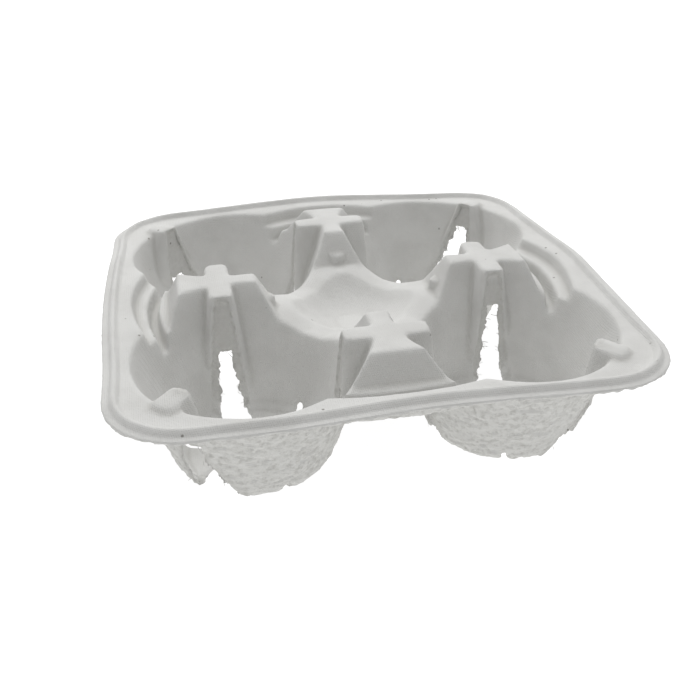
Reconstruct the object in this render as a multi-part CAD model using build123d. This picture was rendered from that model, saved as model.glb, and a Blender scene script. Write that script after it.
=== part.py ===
"""Four-cup carrier tray, moulded from paper pulp in one piece.

Frame: millimetres, +Z up, origin under the middle of the tray on the surface it rests on.
The tray is worked out as two solids, one under its top skin and one under its bottom skin.
Both come from the same functions, which take how far a skin lies behind the top one.
"""
import os
from math import atan2, cos, degrees, radians, sqrt, tan

from build123d import *

# Overall size and wall
SIDE = 214.6            # outside of the trim lip, both ways
CORNER_RADIUS = 32.1    # of the trim lip's outline
WALL = 2.0              # moulded wall
RIM_HEIGHT = 50.0       # top of the bead that runs round the rim

# Rim: trim lip, bead and the ledge inside it
LIP_WIDTH = 2.1
LIP_THICKNESS = 1.4
BEAD_WIDTH = 4.4
BEAD_CROWN = 1.3
BEAD_HEIGHT = 2.4
GROOVE_UNDER_BEAD = 1.6     # half its width at its mouth
GROOVE_UNDER_CROWN = 0.4    # and at its top
LEDGE_WIDTH = 3.3           # at its narrowest, between the bead and a pocket

# Cup pockets
POCKET_TOP_RADIUS = 45.5    # at the ledge
POCKET_FOOT_RADIUS = 30.0
FOOT_CHAMFER = 3.0
POCKET_HOLE_RADIUS = 5.0
GRIP_RADIUS = 34.5          # from a pocket's axis square to the end face of a bar
POST_REACH = 8.9            # of a post into its pocket, from the pocket's edge

# Towers: a body between each pair of pockets, and a bar whose two ends grip the cups.
# Lengths are along the side's middle line, out from the line of the pockets' axes.
TOWER_RISE = 4.2            # flat tops above the rim
TOWER_TOP_INWARD = 8.5
TOWER_FOOT_INWARD = 16.0
TOWER_TOP_OUTWARD = 24.3
TOWER_FOOT_OUTWARD = 29.0
TOWER_FLANK = 28.0          # short of a pocket's axis, where a body ends sideways
BAR_OUTWARD = 7.3
BAR_WIDTH = 10.0
BUMP_INWARD = 13.6
BUMP_RADIUS = 3.4
BUMP_DROP = 5.0             # below the rim

# Corner posts
POST_LENGTH = 13.0
POST_WIDTH = 9.5
POST_DROP = 0.5             # below the rim
POST_FLANK_DRAFT = 19.0     # of its long sides
BAR_FLANK_DRAFT = 7.4       # and of a bar's
END_DRAFT = 3.8             # of the ends of both
BLOCK_CORNER = 3.0          # rounding of their plans

# Stepped channel between each tower and the rim: rings about the middle of the tray,
# with widths taken inward from the trim lip and depths taken down from the rim
STEP_DEPTH = 8.0
GROOVE_DEPTH = 15.0
GROOVE_INNER = 22.0
GROOVE_OUTER = 17.3
SHELF_INNER = 11.7
CHANNEL_LEAN = 0.7

# Centre dish and the ridge round it, with depths taken down from the rim
DISH_FLOOR_RADIUS = 8.0
DISH_DEPTH = 23.0
DISH_RIM_RADIUS = 28.0
RIDGE_DEPTH = 10.5
SADDLE_DEPTH = 15.0
SADDLE_FLOOR_WIDTH = 10.0
SADDLE_RIM_WIDTH = 38.0

# Slits: a thin recessed web in the end of each bar and post, torn open below, and floor slots.
# A post's web and tear spread to one side, towards the front or the rear edge of the tray.
# Each pair gives how far an edge lies on either side of the grip's middle line.
WEB_THICKNESS = 0.8
WEB_TOP_GAP = 1.0
WEB_TOP = (2.9, 2.9)
BAR_WEB_FOOT = (9.0, 9.0)
POST_WEB_FOOT = (7.0, 18.0)
BAR_TEAR_TOP = (2.4, 2.4)
BAR_TEAR_FOOT = (5.6, 5.6)
POST_TEAR_TOP = (2.4, 5.0)
POST_TEAR_FOOT = (5.4, 16.6)
LEAF_SLOT_WIDTH = 1.6
NOTCH_RADIUS = 1.8
NOTCH_OUTWARD = 0.5         # of a notch's middle, past the crease at the pocket's foot

# How far below the rim each tear stops: in a post, in a bar of the front or rear tower, and in
# a bar of a side tower. A pocket is named by the signs of its X and Y.
TEAR_DROPS = {
    (1, 1): (14.0, 22.0, 20.0),
    (-1, 1): (26.0, 23.0, 21.0),
    (-1, -1): (17.0, 20.0, 21.0),
    (1, -1): (17.0, 24.0, 13.0),
}

# Worked out from the values above
HALF = SIDE / 2
LEDGE_HEIGHT = RIM_HEIGHT - BEAD_HEIGHT
TOWER_HEIGHT = RIM_HEIGHT + TOWER_RISE
POST_HEIGHT = RIM_HEIGHT - POST_DROP
RIDGE_HEIGHT = RIM_HEIGHT - RIDGE_DEPTH
STEP_HEIGHT = RIM_HEIGHT - STEP_DEPTH
PITCH_HALF = HALF - LIP_WIDTH - BEAD_WIDTH - LEDGE_WIDTH - POCKET_TOP_RADIUS
POST_START = POCKET_TOP_RADIUS - POST_REACH
FOOT_CREASE = WALL + FOOT_CHAMFER
POCKET_SLOPE = (POCKET_TOP_RADIUS - POCKET_FOOT_RADIUS) / (LEDGE_HEIGHT - FOOT_CREASE)
BAR_CENTRE = PITCH_HALF + BAR_OUTWARD
BAR_LENGTH = 2 * (PITCH_HALF - GRIP_RADIUS)
GRIP_TURN = 45 + degrees(atan2(GRIP_RADIUS, BAR_OUTWARD))   # of a bar, from the outward diagonal
PANEL_ANGLES = [GRIP_TURN / 2, 180, -GRIP_TURN / 2]     # middles of the wall panels between grips
BELOW = -20.0               # a level safely under the tray
ABOVE = TOWER_HEIGHT + 6    # and one safely over it
OVERLAP = 1.0               # of solids that are joined or cut
SKIM = 0.01                 # by which a cut passes a face that it should clear
QUARTERS = [0, 90, 180, 270]


def all_round(shape):
    """The shape at each of the four sides or corners, joined."""
    return Part() + [Rot(0, 0, angle) * shape for angle in QUARTERS]


def rounded_block(half_low, half_high, low, high):
    """A rounded-square block whose sides lean from half_low at low to half_high at high."""
    spread = HALF - CORNER_RADIUS
    foot = Pos(0, 0, low) * RectangleRounded(2 * half_low, 2 * half_low, half_low - spread)
    head = Pos(0, 0, high) * RectangleRounded(2 * half_high, 2 * half_high, half_high - spread)
    return loft([foot, head], ruled=True)


def for_pocket(shape, side, end):
    """A shape drawn for the right rear pocket, mirrored to the pocket at the given signs."""
    if side < 0:
        shape = mirror(shape, about=Plane.YZ)
    if end < 0:
        shape = mirror(shape, about=Plane.XZ)
    return shape


def frustum(length, width, high, flank_draft, behind):
    """A block along X from its start at x=0, with leaning ends and flanks and a rounded plan.

    The block's skin lies `behind` the nominal one on its top and on every side.
    """
    def plan(level):
        drop = high - level
        half_length = length / 2 + drop * tan(radians(END_DRAFT)) - behind / cos(radians(END_DRAFT))
        half = width / 2 + drop * tan(radians(flank_draft)) - behind / cos(radians(flank_draft))
        outline = RectangleRounded(2 * half_length, 2 * half, min(BLOCK_CORNER, 0.8 * half))
        return Pos(length / 2, 0, level) * outline
    return loft([plan(BELOW), plan(high - behind)], ruled=True)


def plate(behind):
    """The rim: a slab up to the ledge, out to the trim lip, with the bead near its edge."""
    bead_outer = HALF - LIP_WIDTH
    bead_inner = bead_outer - BEAD_WIDTH
    slope = (BEAD_WIDTH - BEAD_CROWN) / 2
    if behind == 0:
        slab = rounded_block(HALF, HALF, BELOW, LEDGE_HEIGHT)
        bead = rounded_block(bead_outer, bead_outer - slope, LEDGE_HEIGHT - OVERLAP, RIM_HEIGHT)
        well = rounded_block(bead_inner, bead_inner + slope, LEDGE_HEIGHT, RIM_HEIGHT + SKIM)
        return slab + (bead - well)
    slab = rounded_block(SIDE, SIDE, BELOW, LEDGE_HEIGHT - behind)
    under_lip = rounded_block(SIDE, SIDE, BELOW, LEDGE_HEIGHT - LIP_THICKNESS)
    under_lip -= rounded_block(bead_outer, bead_outer, BELOW, LEDGE_HEIGHT)
    mid = (bead_outer + bead_inner) / 2
    mouth = LEDGE_HEIGHT - behind - OVERLAP
    roof = RIM_HEIGHT - behind
    groove = rounded_block(mid + GROOVE_UNDER_BEAD, mid + GROOVE_UNDER_CROWN, mouth, roof)
    groove -= rounded_block(mid - GROOVE_UNDER_BEAD, mid - GROOVE_UNDER_CROWN, mouth, roof)
    return slab + under_lip + groove


def channel_cut(behind):
    """All that is open above the dish, the ridge and the stepped channels, as one turned form."""
    lean = CHANNEL_LEAN
    tower_foot = PITCH_HALF + TOWER_FOOT_OUTWARD - OVERLAP
    groove_floor = RIM_HEIGHT - GROOVE_DEPTH
    start = (DISH_FLOOR_RADIUS, RIM_HEIGHT - DISH_DEPTH)
    rim = (DISH_RIM_RADIUS, RIDGE_HEIGHT)
    centre = (rim[0] ** 2 + rim[1] ** 2 - start[0] ** 2 - start[1] ** 2) / (2 * (rim[1] - start[1]))
    bowl = sqrt(start[0] ** 2 + (centre - start[1]) ** 2)
    middle = (start[0] + rim[0]) / 2
    wall = ThreePointArc(start, (middle, centre - sqrt(bowl ** 2 - middle ** 2)), rim)
    rest = Polyline(
        rim,
        (tower_foot, RIDGE_HEIGHT),
        (tower_foot, STEP_HEIGHT),
        (HALF - GROOVE_INNER, STEP_HEIGHT),
        (HALF - GROOVE_INNER + lean, groove_floor),
        (HALF - GROOVE_OUTER - lean, groove_floor),
        (HALF - GROOVE_OUTER, STEP_HEIGHT),
        (HALF - SHELF_INNER - lean, STEP_HEIGHT),
        (HALF - SHELF_INNER, LEDGE_HEIGHT),
        (HALF - SHELF_INNER, ABOVE),
        (-DISH_RIM_RADIUS, ABOVE),
        (-DISH_RIM_RADIUS, start[1]),
        start,
    )
    return turned(make_face(wall + rest), behind)


def turned(section, behind):
    """A cut turned about Z from a section that crosses the axis, grown by `behind`."""
    if behind:
        section = offset(section, amount=behind, kind=Kind.INTERSECTION)
    right_half = Pos(SIDE, 0) * Rectangle(2 * SIDE, 6 * SIDE)
    return revolve(Plane.XZ * (section & right_half), Axis.Z)


def saddle(behind):
    """The dip in the ridge between two towers, as a wedge lying along the diagonal."""
    rise = SADDLE_DEPTH - RIDGE_DEPTH
    spread = SADDLE_RIM_WIDTH - SADDLE_FLOOR_WIDTH
    low = RIM_HEIGHT - SADDLE_DEPTH - behind
    foot = SADDLE_FLOOR_WIDTH / 2
    head = SADDLE_RIM_WIDTH / 2 + spread / 2
    wedge = upright((foot, foot), (head, head), low, low + 2 * rise,
                    DISH_RIM_RADIUS / 2, DISH_RIM_RADIUS * 1.5)
    return Rot(0, 0, 45) * wedge


def tower_body(behind):
    """The web between two neighbouring pockets, before the pockets are taken out of it."""
    section = make_face(Polyline(
        (PITCH_HALF - TOWER_FOOT_INWARD, BELOW),
        (PITCH_HALF - TOWER_FOOT_INWARD, RIDGE_HEIGHT),
        (PITCH_HALF - TOWER_TOP_INWARD, TOWER_HEIGHT),
        (PITCH_HALF + TOWER_TOP_OUTWARD, TOWER_HEIGHT),
        (PITCH_HALF + TOWER_FOOT_OUTWARD, STEP_HEIGHT),
        (PITCH_HALF + TOWER_FOOT_OUTWARD, BELOW),
        (PITCH_HALF - TOWER_FOOT_INWARD, BELOW),
    ))
    if behind:
        section = offset(section, amount=-behind, kind=Kind.INTERSECTION)
    return extrude(Plane.XZ * section, amount=PITCH_HALF - TOWER_FLANK, both=True)


def pocket(behind):
    """A cup's room: a cone with a chamfered foot, open at the top.

    On the underside the tray's floor is bare, so the cut runs on down through the ground.
    """
    top_radius = POCKET_FOOT_RADIUS + (ABOVE - FOOT_CREASE) * POCKET_SLOPE
    floor_radius = POCKET_FOOT_RADIUS - FOOT_CHAMFER
    section = make_face(Polyline(
        (-floor_radius, WALL), (floor_radius, WALL), (POCKET_FOOT_RADIUS, FOOT_CREASE),
        (top_radius, ABOVE), (-floor_radius, ABOVE), (-floor_radius, WALL)))
    room = turned(section, behind)
    if behind == WALL:
        room += Pos(0, 0, BELOW) * Cylinder(floor_radius, -2 * BELOW + SKIM)
    return Pos(PITCH_HALF, PITCH_HALF) * room


def bar(behind):
    """The bar across a tower, whose ends stand out into the two pockets beside it."""
    block = frustum(BAR_LENGTH, BAR_WIDTH, TOWER_HEIGHT, BAR_FLANK_DRAFT, behind)
    return Pos(BAR_CENTRE, -BAR_LENGTH / 2) * Rot(0, 0, 90) * block


def post(behind):
    """The corner post, along the diagonal from its end inside the pocket."""
    block = frustum(POST_LENGTH, POST_WIDTH, POST_HEIGHT, POST_FLANK_DRAFT, behind)
    return Rot(0, 0, 45) * Pos(PITCH_HALF * sqrt(2) + POST_START, 0) * block


def bump(behind):
    """The small half-round stub at the foot of a tower's inner face."""
    high = RIM_HEIGHT - BUMP_DROP - behind
    stub = Cylinder(BUMP_RADIUS - behind, high, align=(Align.CENTER, Align.CENTER, Align.MIN))
    return Pos(PITCH_HALF - BUMP_INWARD, 0, 0) * stub


def skin(behind):
    """The solid under the top skin (behind=0), or under the skin that lies `behind` it."""
    body = plate(behind) - channel_cut(behind)
    body -= [Rot(0, 0, angle) * saddle(behind) for angle in QUARTERS]
    body += all_round(tower_body(behind))
    body -= all_round(pocket(behind))
    body += all_round(bar(behind)) + all_round(post(behind))
    return body + all_round(bump(behind))


def upright(foot, head, low, high, start, end):
    """A prism along X from start to end. Its edges lie foot[0] and foot[1] to its two sides at
    its low level, and head[0] and head[1] at its high one."""
    section = make_face(Polyline(
        (-foot[0], low), (foot[1], low), (head[1], high), (-head[0], high), (-foot[0], low)))
    return extrude(Plane((start, 0, 0), x_dir=(0, 1, 0), z_dir=(1, 0, 0)) * section, end - start)


def webs():
    """What is taken off the top skin inside the A-shaped outline at each bar and post end."""
    recess = WALL - WEB_THICKNESS
    floor_radius = POCKET_FOOT_RADIUS - FOOT_CHAMFER
    reach = PITCH_HALF - sqrt(floor_radius ** 2 - BAR_WEB_FOOT[1] ** 2)
    post_reach = sqrt(floor_radius ** 2 - POST_WEB_FOOT[1] ** 2)
    room = all_round(pocket(recess)) - all_round(bar(recess)) - all_round(post(recess))
    bar_outline = upright(BAR_WEB_FOOT, WEB_TOP, -OVERLAP, TOWER_HEIGHT - WEB_TOP_GAP, -reach, reach)
    post_outline = upright(POST_WEB_FOOT, WEB_TOP, -OVERLAP, POST_HEIGHT - WEB_TOP_GAP,
                           post_reach, POST_START + POST_LENGTH / 2)
    post_outline = Pos(PITCH_HALF, PITCH_HALF) * Rot(0, 0, 45) * post_outline
    outlines = all_round(Pos(BAR_CENTRE, 0) * Rot(0, 0, 90) * bar_outline)
    outlines += [for_pocket(post_outline, side, end) for side, end in TEAR_DROPS]
    return room & outlines


def tear(foot, head, drop):
    """One tear through a web, with the wide slot that it runs on into in the floor."""
    floor_radius = POCKET_FOOT_RADIUS - FOOT_CHAMFER
    start = sqrt(floor_radius ** 2 - foot[1] ** 2) - WALL
    through = upright(foot, head, -OVERLAP, RIM_HEIGHT - drop, start, POST_START + 2 * WALL)
    edge = start + OVERLAP
    slot = make_face(Polyline(
        (0, -BAR_TEAR_TOP[0]), (edge, -foot[0]), (edge, foot[1]), (0, BAR_TEAR_TOP[1]),
        (0, -BAR_TEAR_TOP[0])))
    return through + Pos(0, 0, -OVERLAP) * extrude(slot, amount=FOOT_CREASE + OVERLAP)


def tears():
    """The openings torn through the lower part of every web, and the slots in the floors."""
    slot_end = POCKET_FOOT_RADIUS + NOTCH_OUTWARD
    slot = Pos(slot_end / 2, 0, 0) * Box(slot_end, LEAF_SLOT_WIDTH, 2 * FOOT_CREASE)
    notch = Pos(slot_end, 0, FOOT_CREASE) * Sphere(NOTCH_RADIUS)
    all_cuts = Part()
    for (side, end), (post_drop, end_bar_drop, side_bar_drop) in TEAR_DROPS.items():
        cuts = Cylinder(POCKET_HOLE_RADIUS, 4 * WALL)
        cuts += tear(POST_TEAR_FOOT, POST_TEAR_TOP, post_drop)
        cuts += Rot(0, 0, GRIP_TURN) * tear(BAR_TEAR_FOOT, BAR_TEAR_TOP, end_bar_drop)
        cuts += Rot(0, 0, -GRIP_TURN) * tear(BAR_TEAR_FOOT, BAR_TEAR_TOP, side_bar_drop)
        cuts += [Rot(0, 0, angle) * (slot + notch) for angle in PANEL_ANGLES]
        all_cuts += for_pocket(Pos(PITCH_HALF, PITCH_HALF) * Rot(0, 0, 45) * cuts, side, end)
    return all_cuts


def tray():
    above_ground = Pos(0, 0, ABOVE) * Box(2 * SIDE, 2 * SIDE, 2 * ABOVE)
    shell = (skin(0) & above_ground) - skin(WALL)
    return shell - webs() - tears()


os.makedirs("parts", exist_ok=True)
body = tray()
export_step(body, "parts/tray.step")
box = body.bounding_box()
print("solids", len(body.solids()), "valid", body.is_valid, "volume cm3", round(body.volume / 1000, 1))
print("box", box.min, box.max)
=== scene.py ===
"""Moulded pulp cup carrier: the look of the one-piece tray, on a pale floor."""

import math

import bmesh
import bpy
import numpy as np
from mathutils import Matrix, Vector


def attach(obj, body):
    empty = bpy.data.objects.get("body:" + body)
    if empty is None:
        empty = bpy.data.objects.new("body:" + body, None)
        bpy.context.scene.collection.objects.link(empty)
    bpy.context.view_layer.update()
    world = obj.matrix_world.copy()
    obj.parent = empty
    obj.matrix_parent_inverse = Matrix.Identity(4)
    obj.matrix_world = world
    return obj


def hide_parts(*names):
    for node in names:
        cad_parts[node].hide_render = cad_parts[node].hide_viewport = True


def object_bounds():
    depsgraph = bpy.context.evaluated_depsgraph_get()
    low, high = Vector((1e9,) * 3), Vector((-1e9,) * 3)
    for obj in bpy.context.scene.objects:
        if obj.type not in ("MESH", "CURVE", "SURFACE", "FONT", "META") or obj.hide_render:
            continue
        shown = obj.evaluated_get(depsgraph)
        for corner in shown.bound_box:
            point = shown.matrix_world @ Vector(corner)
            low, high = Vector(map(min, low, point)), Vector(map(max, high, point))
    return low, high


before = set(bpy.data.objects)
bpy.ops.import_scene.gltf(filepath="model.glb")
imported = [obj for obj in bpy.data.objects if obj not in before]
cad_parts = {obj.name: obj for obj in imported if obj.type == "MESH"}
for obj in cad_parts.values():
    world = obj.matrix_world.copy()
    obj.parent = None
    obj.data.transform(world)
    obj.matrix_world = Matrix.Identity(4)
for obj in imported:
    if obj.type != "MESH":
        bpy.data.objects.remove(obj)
cad_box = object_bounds()
scene = bpy.context.scene

# ---------------------------------------------------------------- studio
# A pale floor that glows a little, one wide soft light above and behind the
# tray and an even room around it, seen from in front and a little to the left.
scene.view_settings.view_transform = "Standard"
scene.view_settings.look = "None"

FLOOR_REACH = 9.0
floor_mesh = bpy.data.meshes.new("floor")
floor_corners = [(x * FLOOR_REACH, y * FLOOR_REACH, 0) for x, y in ((-1, -1), (1, -1), (1, 1), (-1, 1))]
floor_mesh.from_pydata(floor_corners, [], [(0, 1, 2, 3)])
floor = bpy.data.objects.new("floor", floor_mesh)
scene.collection.objects.link(floor)
floor_paint = bpy.data.materials.new("floor_paint")
floor_paint.use_nodes = True
paint = floor_paint.node_tree.nodes["Principled BSDF"]
paint.inputs["Base Color"].default_value = (0.30, 0.30, 0.30, 1)
paint.inputs["Roughness"].default_value = 0.95
paint.inputs["Specular IOR Level"].default_value = 0.05
paint.inputs["Emission Color"].default_value = (1, 1, 1, 1)
paint.inputs["Emission Strength"].default_value = 0.88
floor_mesh.materials.append(floor_paint)

room = bpy.data.worlds.new("room")
room.use_nodes = True
room.node_tree.nodes["Background"].inputs["Color"].default_value = (1.0, 1.0, 1.0, 1)
room.node_tree.nodes["Background"].inputs["Strength"].default_value = 0.47
scene.world = room

softbox = bpy.data.lights.new("softbox", "AREA")
softbox.shape = "DISK"
softbox.size = 1.8
softbox.energy = 19.0
softbox_holder = bpy.data.objects.new("softbox", softbox)
softbox_holder.location = (0.05, 0.75, 1.3)
aim = -softbox_holder.location
softbox_holder.rotation_euler = aim.to_track_quat("-Z", "Y").to_euler()
scene.collection.objects.link(softbox_holder)

lens = bpy.data.cameras.new("camera")
lens.sensor_width = 36.0
lens.lens = 44.34
lens.shift_y = -0.0457
lens.clip_start = 0.01
camera = bpy.data.objects.new("camera", lens)
scene.collection.objects.link(camera)
stand = Vector((-0.072, -0.340, 0.209))
sight = Vector((0.1799, 0.8693, -0.4603))
turn = sight.to_track_quat("-Z", "Y").to_matrix() @ Matrix.Rotation(math.radians(-0.53), 3, "Z")
camera.matrix_world = Matrix.Translation(stand) @ turn.to_4x4()
scene.camera = camera

# ---------------------------------------------------------------- tray form
# Wet pulp sucked onto a screen and dried: one wall with rounded edges, smooth
# on the screen side and lumpy on the felt side, and a little warped by drying.
VOXEL = 0.00055
FLOOR_SKIM = 0.00001        # the lowest that any point may lie
SOFTENING_ROUNDS = 28
EDGE_ROUNDS_SHARE = 0.09    # how much of the softening the rim and the webs take
MOST_TRIANGLES = 196000
HALF = cad_box[1][0]
CORNER_RADIUS = 0.0321
RIM_HEIGHT = 0.050
PITCH_HALF = 0.052          # of the pockets' axes from the middle lines
BAR_CENTRE = 0.0593
BAR_END = 0.0175
BAR_WEB_DEPTH = (0.0025, 0.0052)    # of the web's outline inward and outward of the bar's end
BAR_WEB_FLARE = 0.12        # how much each side widens for each millimetre down
POST_WEB_DEPTH = (0.024, 0.0396)    # where the web's outline lies, from the pocket's axis
POST_WEB_FLARES = (0.08, 0.30)
WEB_HALF_TOP = 0.0029       # half a web's width at its top
WEB_TOP_RISE = 0.003        # of the webs' sides' starting level above the rim

cad_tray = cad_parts["tray"]
tray_mesh = cad_tray.data.copy()
tray = bpy.data.objects.new("pulp_tray", tray_mesh)
scene.collection.objects.link(tray)
merged = bmesh.new()
merged.from_mesh(tray_mesh)
bmesh.ops.remove_doubles(merged, verts=merged.verts, dist=1e-6)
merged.to_mesh(tray_mesh)
merged.free()


def applied(piece):
    """The piece's modifiers turned into a plain mesh."""
    seen = piece.evaluated_get(bpy.context.evaluated_depsgraph_get())
    mesh = bpy.data.meshes.new_from_object(seen)
    piece.modifiers.clear()
    piece.data = mesh
    return mesh


def read(items, name, width):
    """A mesh's values as a numpy array with that many columns."""
    values = np.empty(len(items) * width, dtype=np.int32 if name == "vertices" else np.float32)
    items.foreach_get(name, values)
    return values.reshape(-1, width).astype(np.int64 if name == "vertices" else np.float64)


def lumps(points, size, seed):
    """Smooth random heights from -1 to 1 at the points, in lumps of that size."""
    table = np.random.default_rng(seed).uniform(-1, 1, (32, 32, 32))
    skew = np.array([[0.80, 0.36, 0.48], [-0.60, 0.48, 0.64], [0.0, -0.8, 0.6]])
    place = points @ skew / size + 100.0
    cell = np.floor(place).astype(int)
    part = place - cell
    part = part * part * (3 - 2 * part)
    total = np.zeros(len(points))
    for corner in np.ndindex(2, 2, 2):
        share = np.prod(np.where(corner, part, 1 - part), axis=1)
        at = (cell + corner) % 32
        total += share * table[at[:, 0], at[:, 1], at[:, 2]]
    return total


def ramp(values, low, high):
    """0 below low, 1 above high and a soft step between."""
    t = np.clip((values - low) / (high - low), 0, 1)
    return t * t * (3 - 2 * t)


def rim_distance(points):
    """How far each point lies inside the trim lip's rounded-square outline."""
    over = np.maximum(np.abs(points[:, :2]) - (HALF - CORNER_RADIUS), 0)
    return CORNER_RADIUS - np.linalg.norm(over, axis=1)


def inside_webs(points):
    """How far each point lies inside the outline of a thin web, negative outside."""
    x, y, z = np.abs(points).T
    along, across = np.maximum(x, y), np.minimum(x, y)
    depth = RIM_HEIGHT + WEB_TOP_RISE - z
    bar = WEB_HALF_TOP + BAR_WEB_FLARE * depth - np.abs(along - BAR_CENTRE)
    bar = np.minimum(bar, across - BAR_END + BAR_WEB_DEPTH[0])
    bar = np.minimum(bar, BAR_END + BAR_WEB_DEPTH[1] - across)
    outward = (x + y) / math.sqrt(2) - PITCH_HALF * math.sqrt(2)
    sideways = (y - x) / math.sqrt(2)
    post = WEB_HALF_TOP + POST_WEB_FLARES[0] * depth + sideways
    post = np.minimum(post, WEB_HALF_TOP + POST_WEB_FLARES[1] * depth - sideways)
    post = np.minimum(post, outward - POST_WEB_DEPTH[0])
    post = np.minimum(post, POST_WEB_DEPTH[1] - outward)
    return np.minimum(np.maximum(bar, post), depth - WEB_TOP_RISE)


def face_on(points, normals):
    """How squarely each normal looks through the web nearest to it, from 0 to 1."""
    x, y = points[:, 0], points[:, 1]
    bar = np.where(np.abs(x) > np.abs(y), np.abs(normals[:, 1]), np.abs(normals[:, 0]))
    post = np.abs(normals[:, 0] * np.sign(x) + normals[:, 1] * np.sign(y)) / math.sqrt(2)
    nearest_a_post = np.minimum(np.abs(x), np.abs(y)) > 0.040
    return np.where(nearest_a_post, post, bar)


def felt_share(normals):
    """1 where the surface looks down, as the felt side does, and 0 where it looks up."""
    return ramp(-normals[:, 2], -0.06, 0.10)


def off_floor(mesh):
    """The mesh's points, once none of them lies below the floor."""
    points = read(mesh.vertices, "co", 3)
    points[:, 2] = np.maximum(points[:, 2], FLOOR_SKIM)
    mesh.vertices.foreach_set("co", points.ravel())
    return points


def store(mesh, name, values):
    """Keeps one value for each point on the mesh, for the material to read."""
    mesh.attributes.new(name, "FLOAT", "POINT").data.foreach_set("value", values.astype(np.float32))


even = tray.modifiers.new("even", "REMESH")
even.mode = "VOXEL"
even.voxel_size = VOXEL
dense = applied(tray)
cast = read(dense.vertices, "co", 3)
edges = read(dense.edges, "vertices", 2)
neighbours = np.bincount(edges.ravel(), minlength=len(cast))[:, None]
open_share = ramp(rim_distance(cast), 0.0065, 0.0100) * (1 - ramp(inside_webs(cast), -0.0022, -0.0008))
give = 0.5 * (EDGE_ROUNDS_SHARE + (1 - EDGE_ROUNDS_SHARE) * open_share)
soft = cast.copy()
for _ in range(SOFTENING_ROUNDS):
    total = np.empty_like(soft)
    for axis in range(3):
        total[:, axis] = (np.bincount(edges[:, 0], soft[edges[:, 1], axis], len(soft))
                          + np.bincount(edges[:, 1], soft[edges[:, 0], axis], len(soft)))
    soft += give[:, None] * (total / neighbours - soft)
dense.vertices.foreach_set("co", soft.ravel())
dense.update()

normals = read(dense.vertices, "normal", 3)
felt = felt_share(normals)
web = ramp(inside_webs(soft), -0.0002, 0.0006)
shrink = cast - soft
edge = ramp(np.linalg.norm(shrink, axis=1), 0.00045, 0.0009)
flat = soft * (1, 1, 2.0)
felt_relief = 0.30 * lumps(flat, 0.0042, 1) + 0.26 * lumps(flat, 0.0021, 2) + 0.14 * lumps(flat, 0.0011, 3)
felt_relief -= 0.55 * ramp(lumps(flat, 0.0026, 4), 0.30, 0.75)
screen_relief = 0.05 * lumps(soft, 0.006, 5) + 0.02 * lumps(soft, 0.0013, 6)
web_relief = 0.22 * lumps(soft, 0.0016, 7) + 0.12 * lumps(soft, 0.0009, 8)
height = felt * felt_relief + (1 - felt) * screen_relief + web * web_relief
# Painted shade: the creases and hollows, where the softening pushed the surface outward along its normal,
# kept as a mask that the material darkens.
painted_hollow_shade = ramp(np.einsum("ij,ij->i", soft - cast, normals), 0.00002, 0.00022)
torn = ramp(inside_webs(soft), 0.0003, 0.0009) * (1 - ramp(face_on(soft, normals), 0.55, 0.80))
ragged = edge * (0.15 + 0.55 * lumps(soft, 0.0022, 9) + 0.45 * lumps(soft, 0.0010, 10))
fringe = 0.0005 + 0.0011 * lumps(soft, 0.0026, 13) + 0.0006 * lumps(soft, 0.0012, 14)
outward = 0.001 * height * (1 - 0.5 * web) * (1 - torn) + fringe * torn
shaped = soft + normals * outward[:, None] + shrink * ragged[:, None]

# Drying lifts the middle of each side, drops the corners and leaves the rim wavy.
x, y = shaped[:, 0], shaped[:, 1]
bearing = np.arctan2(y, x)
at_rim = ramp(np.maximum(np.abs(x), np.abs(y)), 0.066, 0.104)
lift = 0.0017 * np.cos(4 * bearing) - 0.0002 + 0.0006 * lumps(shaped, 0.035, 11)
bow = 0.0011 * np.cos(4 * bearing) - 0.0004 + 0.0005 * lumps(shaped, 0.028, 12)
shaped[:, 2] += at_rim * lift * ramp(shaped[:, 2], 0.015, 0.045)
shaped[:, 0] += at_rim * (bow * np.cos(bearing) + 0.0004) * ramp(shaped[:, 2], 0.030, 0.048)
shaped[:, 1] += at_rim * bow * np.sin(bearing) * ramp(shaped[:, 2], 0.030, 0.048)
shaped[:, 2] = np.maximum(shaped[:, 2], 0.00002)
dense.vertices.foreach_set("co", shaped.ravel())
dense.update()
store(dense, "painted_hollow_shade", painted_hollow_shade)

thin = tray.modifiers.new("thin", "DECIMATE")
thin.ratio = MOST_TRIANGLES / (2 * len(dense.polygons))
form = applied(tray)
form.polygons.foreach_set("use_smooth", np.ones(len(form.polygons), dtype=bool))
final_points = off_floor(form)
store(form, "felt", felt_share(read(form.vertices, "normal", 3)))
store(form, "web", ramp(inside_webs(final_points), -0.0002, 0.0006))

# ---------------------------------------------------------------- pulp
# Grey recycled paper pulp: matt, faintly mottled, with dark specks of ink, the
# mark of the mould's screen on the upper side and a fibrous felt side below,
# and painted shade that darkens its creases and hollows.


class Wire:
    """A shader value on which Python's sums and products add the Math nodes."""

    def __init__(self, tree, socket):
        self.tree = tree
        self.socket = socket

    def math(self, operation, *others):
        values = dict(enumerate((self, *others)))
        return made(self.tree, "ShaderNodeMath", {"operation": operation}, values, 0)

    def __add__(self, other):
        return self.math("ADD", other)

    def __radd__(self, other):
        return self.math("ADD", other)

    def __sub__(self, other):
        return self.math("SUBTRACT", other)

    def __rsub__(self, other):
        return (self * -1.0) + other

    def __mul__(self, other):
        return self.math("MULTIPLY", other)

    def __rmul__(self, other):
        return self.math("MULTIPLY", other)

    def step(self, low, high):
        """A soft step from 0 at low to 1 at high."""
        return made(self.tree, "ShaderNodeMapRange", {"interpolation_type": "SMOOTHSTEP"},
                    {"Value": self, "From Min": low, "From Max": high}, "Result")


def plug(tree, place, value):
    """Links a wire to the input, or sets the input's value."""
    if isinstance(value, Wire):
        tree.links.new(value.socket, place)
    else:
        place.default_value = value


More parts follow.
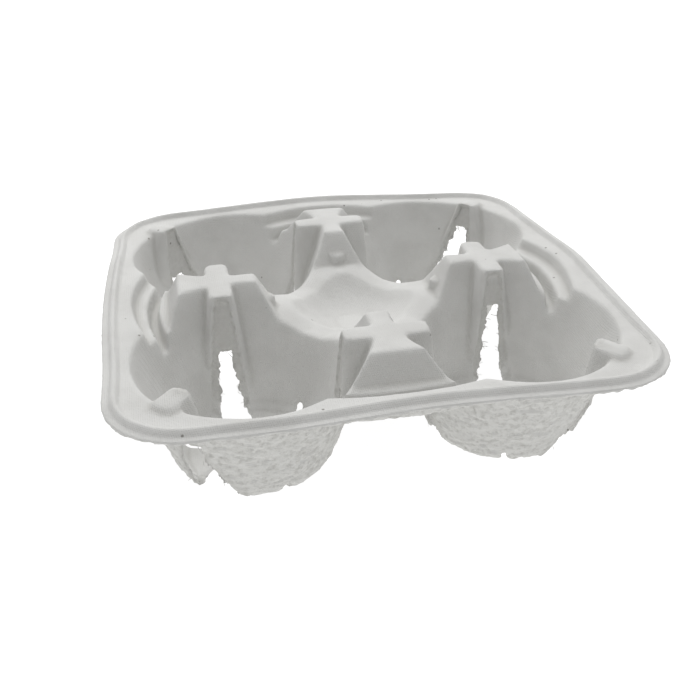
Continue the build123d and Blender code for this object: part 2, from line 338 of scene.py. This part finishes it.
def made(tree, kind, settings, inputs, output):
    """One node of that kind, as the wire of one output. Sockets go by name or by place."""
    node = tree.nodes.new(kind)
    for setting, value in settings.items():
        setattr(node, setting, value)
    for name, value in inputs.items():
        plug(tree, node.inputs[name], value)
    return Wire(tree, node.outputs[output])


def mixed(tree, share, first, second):
    """A colour between two others."""
    return made(tree, "ShaderNodeMix", {"data_type": "RGBA"}, {0: share, 6: first, 7: second}, 2)


pulp = bpy.data.materials.new("pulp")
pulp.use_nodes = True
nodes = pulp.node_tree
shader = nodes.nodes["Principled BSDF"]
where = made(nodes, "ShaderNodeTexCoord", {}, {}, "Object")
felt_mask = made(nodes, "ShaderNodeAttribute", {"attribute_name": "felt"}, {}, "Fac")
web_mask = made(nodes, "ShaderNodeAttribute", {"attribute_name": "web"}, {}, "Fac")
# The mask of painted shade in the creases and hollows.
painted_hollow_shade_mask = made(nodes, "ShaderNodeAttribute", {"attribute_name": "painted_hollow_shade"}, {}, "Fac")


def cloud(scale, detail, roughness=0.55):
    """Noise at the piece's own place, from 0 to 1."""
    return made(nodes, "ShaderNodeTexNoise", {}, {"Vector": where, "Scale": scale, "Detail": detail,
                                                  "Roughness": roughness}, "Fac")


SCREEN_COLOUR = (0.685, 0.683, 0.667, 1)
SCREEN_DARK = (0.630, 0.627, 0.610, 1)
FELT_COLOUR = (0.70, 0.698, 0.675, 1)
# The felt's darker tone, also put on the webs and used as the painted shade in the creases and hollows.
FELT_DARK_AND_SHADE = (0.52, 0.515, 0.49, 1)
SPECK_COLOUR = (0.16, 0.15, 0.13, 1)
screen_side = mixed(nodes, cloud(55.0, 4.0).step(0.35, 0.70), SCREEN_COLOUR, SCREEN_DARK)
felt_side = mixed(nodes, cloud(420.0, 5.0, 0.65).step(0.42, 0.72), FELT_COLOUR, FELT_DARK_AND_SHADE)
colour = mixed(nodes, felt_mask, screen_side, felt_side)
colour = mixed(nodes, web_mask * 0.8 * cloud(600.0, 3.0), colour, FELT_DARK_AND_SHADE)
# Painted shade: the creases and hollows darkened towards the felt's dark tone.
colour = mixed(nodes, painted_hollow_shade_mask * 0.55, colour, FELT_DARK_AND_SHADE)
specks = made(nodes, "ShaderNodeTexVoronoi", {}, {"Vector": where, "Scale": 150.0}, "Distance")
speck_luck = cloud(48.0, 1.0).step(0.56, 0.60)
colour = mixed(nodes, (1.0 - specks.step(0.05, 0.11)) * speck_luck * 0.75, colour, SPECK_COLOUR)
plug(nodes, shader.inputs["Base Color"], colour)
plug(nodes, shader.inputs["Roughness"], 0.86 + cloud(300.0, 2.0) * 0.10)
shader.inputs["Specular IOR Level"].default_value = 0.25

SCREEN_PITCH = 0.0011       # between the wires of the mould's screen
place = {"Vector": where}
along_x, along_y, along_z = (made(nodes, "ShaderNodeSeparateXYZ", {}, place, axis) for axis in "XYZ")
turns = 2 * math.pi / SCREEN_PITCH / math.sqrt(2)
warp_wire = ((along_x + along_y + along_z) * turns).math("SINE")
weft_wire = ((along_x - along_y - along_z * 0.2) * turns).math("SINE")
print_height = warp_wire * weft_wire * 0.5 + 0.5
grit = cloud(900.0, 3.0, 0.6)
fuzz = cloud(1500.0, 4.0, 0.7)
surface = (1.0 - felt_mask) * (print_height * 0.00009 + grit * 0.00022) + felt_mask * fuzz * 0.00045
bump = made(nodes, "ShaderNodeBump", {}, {"Height": surface, "Strength": 1.0, "Distance": 1.0}, "Normal")
plug(nodes, shader.inputs["Normal"], bump)

form.materials.clear()
form.materials.append(pulp)
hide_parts("tray")
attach(tray, "root")

# ---------------------------------------------------------------- frayed fibre
# Short loose fibres of the same pulp that stand out where the webs were torn.
# One Geometry Nodes tree grows them, some longer and thicker than others.
FIBRES = 360
FIBRE_LENGTH = 0.0023
FIBRE_RADIUS = 0.00011
FIBRE_SIZES = (0.35, 1.25)  # the smallest and largest share of those two
FIBRE_SCATTER = 0.75        # how far they lean away from the torn edge's own direction
FIBRE_ROOT = 0.0002         # how deep they start below the torn edge
FIBRE_LEVELS = (0.003, 0.044)
chance = np.random.default_rng(21)
at_level = (shaped[:, 2] > FIBRE_LEVELS[0]) & (shaped[:, 2] < FIBRE_LEVELS[1])
torn_at = np.flatnonzero((torn > 0.5) & at_level)
rooted = chance.choice(torn_at, min(FIBRES, len(torn_at)), replace=False)
roots = bpy.data.meshes.new("fibre_roots")
roots.from_pydata([tuple(point) for point in shaped[rooted]], [], [])
lean = roots.attributes.new("lean", "FLOAT_VECTOR", "POINT")
leans = normals[rooted] + chance.normal(0, FIBRE_SCATTER, (len(rooted), 3))
lean.data.foreach_set("vector", leans.astype(np.float32).ravel())
fibres = bpy.data.objects.new("frayed_fibre", roots)
scene.collection.objects.link(fibres)

fray = bpy.data.node_groups.new("fray", "GeometryNodeTree")
fray.is_modifier = True
fray.interface.new_socket("Geometry", in_out="INPUT", socket_type="NodeSocketGeometry")
fray.interface.new_socket("Length", in_out="INPUT", socket_type="NodeSocketFloat")
fray.interface.new_socket("Radius", in_out="INPUT", socket_type="NodeSocketFloat")
fray.interface.new_socket("Material", in_out="INPUT", socket_type="NodeSocketMaterial")
fray.interface.new_socket("Geometry", in_out="OUTPUT", socket_type="NodeSocketGeometry")
source = fray.nodes.new("NodeGroupInput")
given = {name: Wire(fray, source.outputs[name]) for name in ("Geometry", "Length", "Radius", "Material")}
long = given["Length"]
tip = made(fray, "ShaderNodeCombineXYZ", {}, {"X": long * 0.35, "Z": long}, "Vector")
belly = made(fray, "ShaderNodeCombineXYZ", {}, {"Y": long * 0.30, "Z": long * 0.55}, "Vector")
strand = made(fray, "GeometryNodeCurveQuadraticBezier", {},
              {"Resolution": 5, "Start": (0, 0, -FIBRE_ROOT), "Middle": belly, "End": tip}, "Curve")
ring = made(fray, "GeometryNodeCurvePrimitiveCircle", {},
            {"Resolution": 4, "Radius": given["Radius"]}, "Curve")
one = made(fray, "GeometryNodeCurveToMesh", {},
           {"Curve": strand, "Profile Curve": ring, "Fill Caps": True}, "Mesh")
leaning = made(fray, "GeometryNodeInputNamedAttribute", {"data_type": "FLOAT_VECTOR"},
               {"Name": "lean"}, "Attribute")
turned = made(fray, "FunctionNodeAlignRotationToVector", {"axis": "Z"}, {"Vector": leaning}, "Rotation")
grown = made(fray, "FunctionNodeRandomValue", {"data_type": "FLOAT"},
             {2: FIBRE_SIZES[0], 3: FIBRE_SIZES[1], "Seed": 5}, 1)
spread = made(fray, "GeometryNodeInstanceOnPoints", {},
              {"Points": given["Geometry"], "Instance": one, "Rotation": turned, "Scale": grown}, "Instances")
real = made(fray, "GeometryNodeRealizeInstances", {}, {"Geometry": spread}, "Geometry")
clad = made(fray, "GeometryNodeSetMaterial", {},
            {"Geometry": real, "Material": given["Material"]}, "Geometry")
result = fray.nodes.new("NodeGroupOutput")
plug(fray, result.inputs["Geometry"], clad)
fray_step = fibres.modifiers.new("fray", "NODES")
fray_step.node_group = fray
sockets = {item.name: item.identifier for item in fray.interface.items_tree if item.in_out == "INPUT"}
fray_step[sockets["Length"]] = FIBRE_LENGTH
fray_step[sockets["Radius"]] = FIBRE_RADIUS
fray_step[sockets["Material"]] = pulp
off_floor(applied(fibres))
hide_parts("tray")
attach(fibres, "root")
